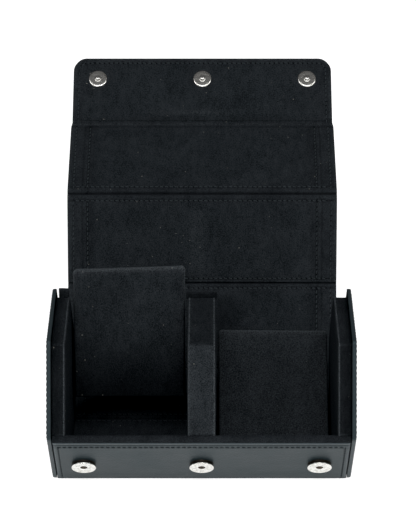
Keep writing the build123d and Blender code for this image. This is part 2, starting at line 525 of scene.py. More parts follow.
def leather(name, base, light):
    """Smooth corrected-grain leather with a satin finish, creased and abraded at its edges; its marks also
    carry painted highlights and painted shade.
    """
    s = Shader(name)
    cloud = s.noise(45, 3, 0.5)
    grain = s.cells(1150)
    fine = s.noise(1900, 3, 0.6)
    creases = s.noise(240, 5, 0.7, (0.3, 1.0, 1.0))
    pores = s.ramp(grain, [(0.0, 0.55), (0.5, 1.0)])
    colour = s.mix(0.35, s.ramp(cloud, [(0.3, base), (0.7, light)]), pores, "MULTIPLY")
    # Wear mark: abrasion at edges, plus painted highlights along the front wall's rim and above its crease.
    colour = s.mix(s.maths("MULTIPLY", s.mark("wear"), 0.7), colour, (0.10, 0.115, 0.125))
    # Press mark: pressing, plus painted shade in creases and stitch grooves and the painted shadow beside
    # the divider.
    colour = s.mix(s.maths("MULTIPLY", s.mark("press"), 0.85), colour, (0.002, 0.0022, 0.0025))
    s.set(Base_Color=colour)
    rough = s.blend_of((cloud, 0.4), (fine, 0.35), (creases, 0.25))
    s.set(Roughness=s.ramp(rough, [(0.35, 0.38), (0.65, 0.52)]))
    s.set(Specular_IOR_Level=0.2, Specular_Tint=(0.60, 0.87, 0.97))
    s.bump([(creases, 0.2, 0.3), (grain, 0.34, 0.18), (fine, 0.15, 0.1)])
    return s.material


def metal(name, base, dull, roughness):
    """Plated metal with fine scratches and cloudy handling marks."""
    s = Shader(name)
    marks = s.noise(500, 4, 0.6)
    scratches = s.noise(1500, 3, 0.6, (0.12, 1.0, 1.0))
    s.set(Base_Color=s.ramp(marks, [(0.35, base), (0.72, dull)]))
    rough = s.blend_of((marks, 0.5), (scratches, 0.5))
    s.set(Roughness=s.ramp(rough, [(0.3, roughness), (0.7, roughness + 0.16)]))
    s.set(Metallic=1.0)
    s.bump([(scratches, 0.05, 0.04)])
    return s.material


def thread_material():
    """Waxed black thread with a visible twist."""
    s = Shader("thread")
    twist = s.noise(2200, 2, 0.5)
    s.set(Base_Color=s.ramp(twist, [(0.3, (0.009, 0.0115, 0.013)), (0.7, (0.032, 0.040, 0.045))]))
    s.set(Roughness=0.7, Specular_IOR_Level=0.15)
    s.bump([(twist, 0.5, 0.1)])
    return s.material


def board_material():
    """Black-dyed bookbinder's board with compacted fibres; it also colours the needle-hole shade painted on
    the leather.
    """
    s = Shader("black_board")
    pulp = s.noise(900, 5, 0.7, (0.3, 1.0, 1.0))
    flecks = s.noise(260, 2, 0.5)
    base = s.ramp(pulp, [(0.3, (0.006, 0.0065, 0.007)), (0.7, (0.016, 0.017, 0.018))])
    colour = s.mix(0.25, base, s.ramp(flecks, [(0.4, 0.5), (0.6, 1.0)]), "MULTIPLY")
    s.set(Base_Color=colour)
    s.set(Roughness=0.92, Specular_IOR_Level=0.1)
    s.bump([(pulp, 0.4, 0.1)])
    return s.material


def foam_material():
    """Open-cell grey foam."""
    s = Shader("foam")
    cells = s.cells(1400)
    s.set(Base_Color=s.ramp(cells, [(0.0, (0.05, 0.05, 0.055)), (0.6, (0.16, 0.16, 0.17))]))
    s.set(Roughness=0.95)
    s.bump([(cells, 0.8, 0.3)])
    return s.material


SUEDE = suede("black_suede", (0.0055, 0.0066, 0.0077), (0.0215, 0.0250, 0.0282), (0.058, 0.066, 0.072))
EDGE_LEATHER = leather("black_leather", (0.0075, 0.0120, 0.0140), (0.0120, 0.0185, 0.0210))
NICKEL = metal("nickel", (0.66, 0.655, 0.63), (0.42, 0.41, 0.38), 0.16)
MAGNET = metal("magnet", (0.060, 0.045, 0.028), (0.020, 0.016, 0.012), 0.5)
# A dark ring under each socket's disc, standing in for the shadow there: painted shadow.
SOCKET_SHADOW_RING = metal("socket_shadow_ring", (0.026, 0.022, 0.018), (0.010, 0.009, 0.008), 0.4)
STEEL = metal("steel", (0.5, 0.5, 0.5), (0.35, 0.35, 0.35), 0.35)
THREAD_BLACK = thread_material()
BLACK_BOARD = board_material()
FOAM = foam_material()

HIDDEN_FINISHES = {"board": BLACK_BOARD, "core": FOAM, "washers": STEEL, "magnets": MAGNET}


def finish_cad_nodes():
    """Gives the enclosed CAD nodes their materials."""
    for name, node in frame["nodes"].items():
        for word, material in HIDDEN_FINISHES.items():
            if word in name:
                node.data.materials.clear()
                node.data.materials.append(material)


# ---- stitching

def along_route(route, per_stitch):
    """Evenly spaced points on a route in millimetres, with the unit direction at each."""
    route = np.asarray(route, float)
    runs = np.diff(route, axis=0)
    lengths = np.hypot(runs[:, 0], runs[:, 1])
    marks = np.concatenate([[0], np.cumsum(lengths)])
    steps = per_stitch * max(1, int(marks[-1] / STITCH_PITCH))
    for n in range(steps):
        where = (n + 0.5) * marks[-1] / steps
        k = min(np.searchsorted(marks, where, "right") - 1, len(runs) - 1)
        yield route[k] + runs[k] * (where - marks[k]) / lengths[k], runs[k] / lengths[k]


def stitch(start, along, up, rise):
    """One stitch: a short thread that rises from the fabric and goes back in, in metres."""
    shape = [(-0.5, -1.0), (-0.38, 0.15), (0.0, 0.55), (0.38, 0.15), (0.5, -1.0)]
    points = [start + along * (a * STITCH_LENGTH * MM) + up * (b * rise * MM) for a, b in shape]
    return tube(points, THREAD * MM)


def hole_shade_lens(place, along, up):
    """Painted shade of a needle-hole where the thread goes in: a small dark flat lens, in metres."""
    count, height, depth = 8, 0.05, 0.25
    side = np.cross(along, up)
    verts = [place + up * height * MM]
    for turn in np.arange(count) * 2 * pi / count:
        verts.append(place + (along * cos(turn) * HOLE_LENGTH + side * sin(turn) * HOLE_WIDTH) * MM)
    verts.append(place - up * depth * MM)
    faces = []
    for k in range(count):
        a, b = 1 + k, 1 + (k + 1) % count
        faces.append((a, b, 0))
        faces.append((b, a, count + 1))
    return np.array(verts), faces


def stitch_row(panel, route, height, side=1):
    """Stitches along a route of (x, s) points, with dark lenses between them painted as needle-hole
    shade. height(x, s) is the surface; side is 1 on a panel's lining and -1 on its leather."""
    slant = 0.13
    up = side * np.array([0, *panel.up])
    threads, hole_shades = [], []
    for n, ((x, s), (dx, ds)) in enumerate(along_route(route, 2)):
        along = np.array([dx, ds * panel.along[0], ds * panel.along[1]])
        place = panel.at(x, s, height(x, s))
        if n % 2:
            hole_shades.append(hole_shade_lens(place, along, up))
        else:
            lean = np.cross(along, up) * slant
            threads.append(stitch(place, along + lean, up, STITCH_RISE))
    return threads, hole_shades


def loop_stitches(loop, place, side):
    """Stitches round a closed (y, z) loop at one x."""
    rise = 0.28
    threads = []
    for (y, z), (dy, dz) in along_route([*loop, loop[0]], 1):
        start = np.array([place, y, z]) * MM
        threads.append(stitch(start, np.array([0, dy, dz]), np.array([side, 0, 0]), rise))
    return threads


def sew(name, rows, body, slot, lining=None):
    """One piece of thread, and, where a material is given for it, one piece of dark lenses painted as
    needle-hole shade.
    """
    threads, hole_shades = (sum(parts, []) for parts in zip(*rows))
    finish(joined(f"{name}_stitching", threads, THREAD_BLACK), body, slot)
    if lining:
        hole_shade_piece = joined(f"{name}_painted_hole_shade", hole_shades, lining)
        # Painted shade: the lenses are suede painted at full darkness.
        paint_evenly(hole_shade_piece, press=1)
        finish(hole_shade_piece, body, slot)


def corner_arc(x, s, radius, first, last, count=7):
    """Points of an arc in the (x, s) plane, angles in degrees from +x."""
    turns = np.radians(np.linspace(first, last, count))
    return [(x + radius * cos(t), s + radius * sin(t)) for t in turns]


# ---- wrap panels

def columns_of(panel):
    """X positions of a panel's points, closer together at its stitching and pressed lines."""
    marks = []
    for sign in (-1, 1):
        for inset in (EDGE_ROW, LID_ROW, INDENT, INNER_ROW, EDGE_ROUND):
            marks.append(sign * (panel.half - inset))
    return spaced(-panel.half, panel.half, ACROSS_STEP, marks)


def lining_height(panel, x, s):
    """Height of a panel's suede above its outer face, before the fine unevenness."""
    edge = panel.half - np.abs(x)
    sunk = np.zeros_like(s * x)
    for distance in panel.from_folds(s):
        sunk = sunk + 1 - smooth_step(distance, 0.0, FOLD_SHOULDER)
    scale = FOLD_DIP / (1 - smooth_step(FOLD_HALF, 0.0, FOLD_SHOULDER))
    height = panel.wrap - scale * sunk - ROW_DEPTH * groove(edge - LID_ROW, ROW_WIDTH)
    inner = 0.22 * groove(edge - INNER_ROW, ROW_WIDTH) + 0.3 * groove(edge - INDENT, 0.7)
    return height - panel.inner_row * inner - round_drop(edge, EDGE_ROUND)


def lining_press(panel, x, s):
    """How dark a panel's suede is drawn along its stitching, its indented lines and its fold stitching:
    pressing, and painted shade in the grooves.
    """
    edge = panel.half - np.abs(x)
    inner = 0.85 * groove(edge - INNER_ROW, 0.6) + 0.4 * groove(edge - INDENT, 0.5)
    inner = inner + 0.22 * groove(edge - INNER_ROW - 2.2, 1.8)
    press = 0.5 * groove(edge - LID_ROW, 0.4) + panel.inner_row * inner
    for distance in panel.from_folds(s):
        press = press + 0.6 * groove(distance - FOLD_ROW, 0.4)
    return press


def flap_crease(x, s):
    """A shallow handling crease across the snap flap, near its fold."""
    bend = 9.5 + 0.012 * x
    reach = smooth_step(38 - np.abs(x + 4), 0, 26)
    hollow = smooth_step(78 - np.abs(x), 0, 30)
    return 0.28 * reach * groove(s - bend, 1.2) - 0.22 * hollow * groove(s - bend + 4.2, 2.0)


def imprint(x, s):
    """The divider's mark on the top panel: a band its nap has been lifted from, 0 to 1."""
    band = smooth_step(x, -7.6, -6.4) - smooth_step(x, 0.6, 1.8)
    edges = groove(x + 7.0, 0.9) + groove(x - 1.2, 0.9)
    return (0.45 * band + 0.55 * edges) * smooth_step(s, 6, 12) * smooth_step(SIDE - s, 6, 12)


def painted_divider_shadow(panel, x, s):
    """Painted shadow beside the divider on the panel behind it, 0 to 1."""
    band = smooth_step(x, 6.5, 9) - smooth_step(x, 15, 26)
    return band * smooth_step(panel.length - s, 6, 12)


def corner_rows(panel, straight, radius, last_turn, count):
    """Positions along a panel with rounded last corners, and its half width at each."""
    turns = np.radians(np.linspace(0, last_turn, count))[1:]
    rows = np.append(straight, panel.length - radius + radius * np.sin(turns))
    return rows, np.append(np.full(len(straight), panel.half), panel.half - radius + radius * np.cos(turns))


def panel_rows(panel):
    """Positions along a wrap panel, and its half width at each."""
    beside = FOLD_ROW + 0.6
    low = FOLD_HALF if panel.fold_first else 0.0
    if panel.fold_last:
        rows = spaced(low, panel.length - FOLD_HALF, ALONG_STEP, [beside, panel.length - beside])
        return rows, np.full(len(rows), panel.half)
    straight = spaced(low, panel.length - FLAP_CORNER, ALONG_STEP, [beside])
    return corner_rows(panel, straight, FLAP_CORNER, 86, 13)


def wrap_panel(name, seed):
    """The leather and the suede lining of one panel, as two closed pieces."""
    panel = PANELS[name]
    columns = columns_of(panel) / panel.half
    rows, halves = panel_rows(panel)
    x = halves[:, None] * columns[None, :]
    s = np.repeat(rows[:, None], len(columns), 1)
    edge = halves[:, None] - np.abs(x)
    spread = np.sign(x) * (panel.half - edge)
    tip = np.full_like(s, 99.0) if panel.fold_last else np.maximum(panel.length - s, 0)
    top = lining_height(panel, spread, s)
    press = lining_press(panel, spread, s)
    worn_and_lit = 0.3 * fade(edge, 0.8) + 0.3 * fade(tip, 0.8)
    if name == "snap_flap":
        streak = flap_crease(x, s)
        top = top - ROW_DEPTH * groove(tip - LID_ROW, ROW_WIDTH) - round_drop(tip, EDGE_ROUND) + streak
        # The crease's ridge is drawn lighter and its hollow darker: painted shade in the hollow.
        worn_and_lit = worn_and_lit + 0.5 * np.clip(streak, 0, 1)
        press = press + 0.8 * np.clip(-streak, 0, 1)
    if name == "top_panel":
        mark = imprint(x, s)
        top = top + 0.12 * mark
        worn_and_lit = worn_and_lit + 0.16 * mark
    # Painted shadow of the divider on the lid panel behind it.
    if name == "back_upper":
        press = press + 0.5 * painted_divider_shadow(panel, x, s)
    flat = panel.at(x, s, 0 * s)
    soft = wobble(flat, 17, seed) * 0.18 + wobble(flat, 6, seed + 5) * 0.06
    inner = smooth_step(edge, 0.5, 4) * smooth_step(tip, 0.5, 4)
    for distance in panel.from_folds(s):
        inner = inner * smooth_step(distance, FOLD_HALF, 8)
    top = top + soft * inner
    lining = closed_grid(f"{name}_suede", panel.at(x, s, top - LINING), panel.at(x, s, top), SUEDE)
    paint(lining, wear=worn_and_lit, press=press)
    finish(lining, body_of(name), "black_suede", f"{name}_lining")

    under = np.minimum(round_drop(edge, SKIN_ROUND) + round_drop(tip, SKIN_ROUND), LEATHER)
    if not on_table(name):
        under = under + wobble(flat, 30, seed + 11) * 0.1 * inner
    roof = np.maximum(top - LINING - 0.02, under + 0.4)
    outer = closed_grid(f"{name}_skin", panel.at(x, s, under), panel.at(x, s, roof), EDGE_LEATHER)
    # The leather takes the lining's press mark at lower strength: pressing and painted shade, with the
    # painted shadow beside the divider.
    paint(outer, wear=0.6 * fade(edge, 0.7) + 0.6 * fade(tip, 0.7), press=0.6 * press)
    finish(outer, body_of(name), "black_leather", f"{name}_leather")


def on_table(name):
    """True for the panels whose leather lies on the table."""
    return name in ("floor", "back_lower")


def lid_stitching(name):
    """Thread on both faces of a wrap panel."""
    panel = PANELS[name]
    is_flap = name == "snap_flap"
    length = panel.length
    sunk = 0.02

    def inside(x, s):
        return float(lining_height(panel, np.array([x]), np.array([s]))[0]) - sunk

    def outside(x, s):
        return sunk

    routes = []
    for sign in (-1, 1):
        edge_x = sign * (panel.half - LID_ROW)
        last = length - FLAP_CORNER if is_flap else length - FOLD_HALF
        routes.append([(edge_x, FOLD_HALF), (edge_x, last)])
        if panel.inner_row:
            inner_x = sign * (panel.half - INNER_ROW)
            routes.append([(inner_x, FOLD_HALF + 1), (inner_x, length - FOLD_HALF - 1)])
    if is_flap:
        reach = panel.half - FLAP_CORNER
        arc = (length - FLAP_CORNER, FLAP_CORNER - LID_ROW)
        routes.append(corner_arc(reach, *arc, 0, 90) + corner_arc(-reach, *arc, 90, 180))
    across = panel.half - LID_ROW - 2
    if panel.fold_first and not is_flap:
        routes.append([(-across, FOLD_ROW), (across, FOLD_ROW)])
    if panel.fold_last and name != "front_upper":
        routes.append([(-across, length - FOLD_ROW), (across, length - FOLD_ROW)])
    # Each row also gets dark lenses painted as needle-hole shade: suede inside, black board outside.
    rows = [stitch_row(panel, route, inside) for route in routes]
    sew(f"{name}_inner", rows, body_of(name), "black_suede", SUEDE)
    if not on_table(name):
        rows = [stitch_row(panel, route, outside, -1) for route in routes]
        sew(f"{name}_outer", rows, body_of(name), "black_leather", BLACK_BOARD)


def fold_frame(first, second, shares):
    """A fold's outer line and its thickness direction, (y, z), at each share of its width."""
    t = shares[:, None]
    a, b, c = (1 - t) ** 2, 2 * t * (1 - t), t ** 2
    middle = (first.up + second.up) / (1 + first.up @ second.up)
    start = first.origin + first.along * (first.length - FOLD_HALF)
    end = second.origin + second.along * FOLD_HALF
    line = a * start + b * second.origin + c * end
    return line, a * first.up + b * middle + c * second.up


def fold(first_name, second_name):
    """The suede and the leather across one fold, curved from one panel to the next."""
    first, second = PANELS[first_name], PANELS[second_name]
    to_flap = second_name == "snap_flap"
    line, rise = fold_frame(first, second, np.linspace(0, 1, FOLD_ROWS))
    t = np.linspace(-1, 1, FOLD_ROWS)[:, None]
    half = np.linspace(first.half, second.half, FOLD_ROWS)[:, None]
    x = half * (columns_of(first) / first.half)[None, :]
    edge = half - np.abs(x)

    def strip(name, low, high, material, slot, wear, press):
        grids = []
        for height in (low, high):
            points = line[:, None] + height[..., None] * rise[:, None]
            grids.append(np.concatenate([x[..., None], points], -1) * MM)
        made = closed_grid(f"{name}_{second_name}", *grids, material)
        paint(made, wear=wear, press=press)
        bodies = body_of(first_name), body_of(second_name)
        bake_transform(made)

    before = lining_height(first, x, np.full_like(x, first.length - FOLD_HALF))
    after = lining_height(second, x, np.full_like(x, FOLD_HALF))
    share = (t + 1) / 2
    top = before * (1 - share) + after * share
    crease = CREASE_HEIGHT + (0.2 if to_flap else 0.0)
    valley = groove(t, CREASE_WIDTH) - groove(1.0, CREASE_WIDTH)
    top = top - (top - crease) * np.clip(valley, 0, 1)
    wear = 0.3 * fade(edge, 0.8) + (0.2 if to_flap else 0.0) * groove(t, 0.3)
    # Darker along the crease's bottom: painted shade in the fold.
    press = (0.25 if to_flap else 0.9) * groove(t, 0.2) * np.ones_like(x)
    low = np.full_like(x, LEATHER + 0.05)
    strip("fold_suede", low, np.maximum(top, LEATHER + 0.4), SUEDE, "black_suede", wear, press)

    under = np.minimum(round_drop(edge, SKIN_ROUND), LEATHER)
    if not (on_table(first_name) and on_table(second_name)):
        under = under - 0.25 * groove(t, 0.5)
    high = np.full_like(x, LEATHER + 0.1)
    wear = 0.5 * fade(edge, 0.7) + 0.12 * groove(t, 0.6)
    strip("fold_skin", np.minimum(under, LEATHER - 0.1), high, EDGE_LEATHER, "black_leather", wear, 0 * x)


def lid():
    """The floor and the five lid panels, with the folds between them and their stitching."""
    for number, name in enumerate(PANELS, 1):
        wrap_panel(name, number)
    for first, second in zip(PANELS, LID):
        fold(first, second)
    for name in PANELS:
        lid_stitching(name)


# ---- front wall

def front_wall():
    """The front wall: satin leather outside, suede inside and over the rim."""
    panel = FRONT_WALL
    columns = columns_of(panel)
    rows = spaced(0.0, panel.length, ALONG_STEP, (WALL_CREASE, WALL_ROW, 0.8, panel.length - 1.0))
    x, s = np.meshgrid(columns, rows)
    edge = panel.half - np.abs(x)
    side_row = groove(edge - EDGE_ROW, ROW_WIDTH) * smooth_step(s, 3, 7)
    sink = 0.34 * groove(s - WALL_CREASE, 0.6) + 0.18 * groove(s - WALL_ROW, ROW_WIDTH)
    sink = sink + ROW_DEPTH * side_row
    flat = panel.at(x, s, 0 * s)
    soft = wobble(flat, 34, 21) * 0.12 + wobble(flat, 11, 22) * 0.03
    bottom = round_drop(edge, 1.1) + round_drop(s, 0.8) + sink + soft * smooth_step(edge, 1, 8)
    bottom = np.clip(bottom, -0.2, 1.4)
    mitre = bottom + 0.5 + (panel.length - s) / tan(radians(30))
    roof = np.minimum(WRAP - LINING, mitre)
    skin = closed_grid("front_wall_skin", panel.at(x, s, bottom), panel.at(x, s, roof), EDGE_LEATHER)
    # Lighter at the side edges from abrasion, and along the rim from abrasion and a painted highlight; a
    # painted highlight runs just above the crease. Darker in the crease (painted shade) and along the
    # stitching (pressing and painted shade).
    worn_and_lit = fade(edge, 0.8) + 1.2 * fade(s, 0.5) + 0.25 * groove(s - WALL_CREASE + 0.9, 0.5)
    press = 0.6 * groove(s - WALL_CREASE, 0.45) + 0.15 * groove(s - WALL_ROW, 0.4)
    press = press + 0.15 * groove(edge - EDGE_ROW, 0.4) * smooth_step(s, 5, 7)
    paint(skin, wear=worn_and_lit, press=press)
    finish(skin, "case", "black_leather", "front_wall_leather")
    wall_lining(panel, columns)

    across = panel.half - EDGE_ROW
    routes = [[(-across, WALL_ROW), (across, WALL_ROW)]]
    for sign in (-1, 1):
        routes.append([(sign * across, WALL_ROW + 1.5), (sign * across, panel.length - 1.0)])
    rows = [stitch_row(panel, route, lambda x, s: 0.05, -1) for route in routes]
    sew("front_wall", rows, "case", "black_leather")
    corner_strip(panel)


def wall_lining(panel, columns):
    """Suede that runs up the wall's inside and over the rim, to the leather's cut edge."""
    cut = 0.9
    middle, reach = (WRAP + cut) / 2, (WRAP - cut) / 2
    turns = np.radians(np.linspace(0, 180, 15))
    outline = [(-0.75 * sin(turn), middle - reach * cos(turn)) for turn in turns]
    outline += [(value, WRAP) for value in spaced(1.0, panel.length - 2.4, 2.4)]
    outline = np.array(outline)
    tangent = np.gradient(outline, axis=0)
    tangent /= np.linalg.norm(tangent, axis=1)[:, None]
    below = outline - np.stack([tangent[:, 1], -tangent[:, 0]], -1) * LINING
    low, top = (panel.at(columns[None], line[:, :1], line[:, 1:]) for line in (below, outline))
    lining = closed_grid("front_wall_suede", low, top, SUEDE)
    # The suede over the rim and the top of the inside is painted darker: painted shade.
    paint(lining, press=0.22 * np.repeat(fade(np.abs(outline[:, 0]), 1.2), len(columns)))
    finish(lining, "case", "black_suede", "front_wall_lining")


def corner_strip(wall):
    """The leather round the fixed fold under the front wall."""
    depth = 2.2
    ups = wall.up + FLOOR.up
    corner = FLOOR_FRONT + depth * ups / (1 + wall.up @ FLOOR.up)
    columns = spaced(-wall.half, wall.half, 6.0)
    turns = np.radians(np.linspace(0, 60, 7))[:, None]
    down = -wall.up * np.cos(turns) + wall.along * np.sin(turns)
    grids = []
    for radius in (depth - LEATHER, depth):
        x, y, z = np.broadcast_arrays(columns, *(corner + down * radius).T[:, :, None])
        grids.append(np.stack([x, y, z], -1) * MM)
    strip = closed_grid("front_corner_skin", grids[1], grids[0], EDGE_LEATHER)
    paint_evenly(strip, wear=0.12)
    finish(strip, "case", "black_leather")


# ---- end caps, blocks, divider

def hexagon_loop(insets, radius, straight=15, arc=6):
    """A closed loop of (y, z) points round a hexagon with rounded corners."""
    lines = [(heading(60 * n - 90), APOTHEM - inset - radius) for n, inset in enumerate(insets)]
    centres = []
    for number in range(6):
        (ay, az), a = lines[number - 1]
        (by, bz), b = lines[number]
        turn = ay * bz - az * by
        centres.append(np.array([(a * bz - b * az) / turn, APOTHEM + (b * ay - a * by) / turn]))
    loop = []
    for number, here in enumerate(centres):
        for k in range(arc + 1):
            loop.append(here + radius * heading(60 * (number + k / arc) - 150))
        run = centres[(number + 1) % 6] - here
        for k in range(1, straight):
            loop.append(here + radius * lines[number][0] + run * k / straight)
    return np.array(loop)


def hexagon_solid(name, insets, radius, sections, crowns, material, rings=9):
    """A hexagonal prism. sections are (x, extra inset); crowns are the end faces' bulges."""
    middle = np.array([0.0, APOTHEM])
    least_radius = 0.4
    loops = []
    for place, extra in sections:
        loop = hexagon_loop([value + extra for value in insets], max(radius - extra, least_radius))
        loops.append((place, loop))

    def end_rings(place, loop, crown):
        shares = np.linspace(0, 1, rings + 1)[1:-1]
        return [(place + crown * (1 - share ** 2), middle + (loop - middle) * share) for share in shares]

    order = end_rings(*loops[0], crowns[0]) + loops + end_rings(*loops[-1], crowns[1])[::-1]
    verts = [(place, y, z) for place, loop in order for y, z in loop]
    verts += [(loops[0][0] + crowns[0], *middle), (loops[-1][0] + crowns[1], *middle)]
    count = len(loops[0][1])
    base = (len(order) - 1) * count
    faces = ring_faces(len(order), count)
    for k in range(count):
        j = (k + 1) % count
        faces.append((j, k, len(verts) - 2))
        faces.append((base + k, base + j, len(verts) - 1))
    return new_object(name, np.array(verts) * MM, faces, material)


def rounded_sections(low, high, radius, soft_low, soft_high, count=5):
    """x positions and insets of a prism from low to high, its end edges rounded or square."""
    turns = np.radians(np.linspace(0, 90, count))
    curve = [(radius * (1 - cos(t)), radius * (1 - sin(t))) for t in turns]
    start = [(low + reach, inset) for reach, inset in curve] if soft_low else [(low, 0.0)]
    stop = [(high - reach, inset) for reach, inset in curve[::-1]] if soft_high else [(high, 0.0)]
    steps = max(2, int((high - low - 2 * radius) / ALONG_STEP))
    inner = np.linspace(start[-1][0], stop[0][0], steps + 1)[1:-1]
    return start + [(place, 0.0) for place in inner] + stop


def edge_reach(points, inset=0.0):
    """How far points in millimetres lie inside the case's hexagon, less an inset."""
    y, z = points[:, 1], points[:, 2] - APOTHEM
    reach = np.max([y * ay + z * az for ay, az in (heading(-90 + 60 * n) for n in range(6))], 0)
    return np.clip(APOTHEM - inset - reach, 0, None)


def end_cap(side, name):
    """The leather skin of an end cap: a thin padded plate with a scuffed edge."""
    low, high = sorted((side * INNER_X, side * OUTER_X))
    sections = rounded_sections(low, high, CAP_ROUND, side < 0, side > 0)
    cap = hexagon_solid(f"end_cap_skin_{name}", [0.0] * 6, 3.4, sections, (0.0, 0.0), EDGE_LEATHER)
    paint(cap, wear=0.15 * fade(edge_reach(coordinates(cap.data) / MM), 0.7))
    finish(cap, "case", "black_leather", f"end_leather_{name}")
    loop = hexagon_loop([EDGE_ROW] * 6, 1.5, 30, 3)
    sew(f"end_cap_{name}", [(loop_stitches(loop, side * OUTER_X, side), [])], "case", "black_leather")


def relax(thing, amount, size, seed):
    """Moves a piece's points along their normals by smooth noise, in millimetres."""
    points = coordinates(thing.data)
    shift = wobble(points, size, seed)[:, None] * amount * MM
    move_points(thing.data, points + normals_of(thing) * shift)


def soft_block(name, low, high, crown, node, seed, tone):
    """A suede-covered foam block with a welt along each free edge. tone paints its upper front face
    lighter or darker: painted light and shade."""
    free = [edge for edge in (low, high) if abs(abs(edge) - INNER_X) > 1]
    crowns = (-crown * (low in free), crown * (high in free))
    insets = [WRAP, *[WRAP + LID_CLEARANCE] * 4, WRAP]
    sections = rounded_sections(low, high, 1.3, low in free, high in free)
    block = hexagon_solid(name, insets, BLOCK_ROUND, sections, crowns, SUEDE)
    relax(block, 0.22, 14, seed)
    points = coordinates(block.data) / MM
    near = np.min([np.abs(points[:, 0] - edge) for edge in free], 0)
    worn_and_lit = 0.3 * fade(near, 0.9) * fade(edge_reach(points, WRAP + LID_CLEARANCE), 1.2)
    normals = normals_of(block)
    # Painted light and shade by the way a face turns: sideways and upward faces are painted darker, and
    # tone paints the upper front face lighter or darker.
    forward = smooth_step(normals[:, 1] * -cos(pi / 6) + normals[:, 2] * sin(pi / 6), 0.9, 0.98)
    pressed = 0.85 * smooth_step(np.abs(normals[:, 0]), 0.6, 0.9)
    pressed = pressed + 0.35 * smooth_step(normals[:, 2], 0.9, 0.98)
    paint(block, wear=worn_and_lit + max(tone, 0) * forward, press=pressed + max(-tone, 0) * forward)
    finish(block, "case", "black_suede", node)
    welts = []
    loop = hexagon_loop([value + 0.15 for value in insets], BLOCK_ROUND)
    for edge in free:
        inward = -1.0 if edge == high else 1.0
        path = np.column_stack([np.full(len(loop), edge + inward), loop])
        welts.append(tube(path * MM, 0.42 * MM, 8, closed=True))
    welt = joined(f"{name}_welt", welts, SUEDE)
    paint_evenly(welt, wear=0.5)
    finish(welt, "case", "black_suede")


def back_lip(name, low, high, height, press):
    """A suede tab that stands up behind a block."""
    thick, count = 0.75, 9
    base = 2 * APOTHEM - WRAP - LID_CLEARANCE - 1.0
    x, h = np.meshgrid(np.linspace(low, high, count), np.linspace(0, height, count))
    ends = np.minimum(np.minimum(x - low, high - x), height - h)
    soft = thick * np.sqrt(np.clip(1 - np.clip(1 - ends / 0.8, 0, 1) ** 2, 0.05, 1))
    depth = SIDE / 2 - 3.2 + 0.04 * h ** 1.5 + 0.15 * np.sin(x)
    front, back = (np.stack([x, depth + side * soft, base + h], -1) * MM for side in (-1, 1))
    lip = closed_grid(name, back, front, SUEDE)
    paint(lip, wear=0.1 * fade(height - h, 0.8), press=press + 0 * h)
    finish(lip, "case", "black_suede")
    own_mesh(lip)


def case():
    """End caps, foam blocks, the divider and the tabs behind them."""
    for side, name in ((-1, "left"), (1, "right")):
        end_cap(side, name)
        low, high = sorted((side * INNER_X, side * (INNER_X - BLOCK_WIDTH)))
        # The end blocks' upper front faces are painted darker: painted shade.
        soft_block(f"end_block_{name}", low, high, 0.5, f"end_block_cover_{name}", 31 + side, -0.65)
    half = DIVIDER_WIDTH / 2
    # The divider's upper front face is painted a little lighter: painted light.
    soft_block("divider_block", -half, half, 0.4, "divider_cover", 37, 0.07)
    back_lip("back_lip_suede", -82.2, -76.2, 6.8, 0.25)
    # Painted shadow: a dark suede tab over the divider's back, painted darker, stands for the shadow on the
    # lid there.
    back_lip("divider_shadow_tab_suede", -half - 0.8, half + 0.6, 4.6, 0.6)


# ---- pads

# A pad's cover as cloth.
COVER = {
    "quality": 6, "mass": 0.3, "tension_stiffness": 12, "compression_stiffness": 12,
    "bending_stiffness": 1.5, "shrink_min": -0.02, "use_pressure": True,
}


def settle(thing, cap, pressure, frames=20, scale=10.0):
    """Lets a cover swell over its filling by cloth simulation, each point by no more than cap
    millimetres. It runs on a larger copy, where the solver is steadier."""
    rest = coordinates(thing.data)
    copy = into_scene("settling", thing.data.copy())
    move_points(copy.data, rest * scale)
    cloth = copy.modifiers.new("settle", "CLOTH")
    for key, value in COVER.items():
        setattr(cloth.settings, key, value)
    cloth.settings.uniform_pressure_force = pressure
    cloth.settings.effector_weights.gravity = 0
    cloth.collision_settings.use_collision = False
    cloth.point_cache.frame_start = 1
    cloth.point_cache.frame_end = frames
    for number in range(1, frames + 1):
        bpy.context.scene.frame_set(number)
    settled = copy.evaluated_get(bpy.context.evaluated_depsgraph_get())
    shift = coordinates(settled.data) / scale - rest
    bpy.data.objects.remove(copy)
    bpy.context.scene.frame_set(1)
    reach = np.linalg.norm(shift, axis=1)
    limit = cap * MM
    held = np.minimum(1, limit * np.tanh(reach / limit) / np.maximum(reach, 1e-9))
    move_points(thing.data, rest + shift * held[:, None])


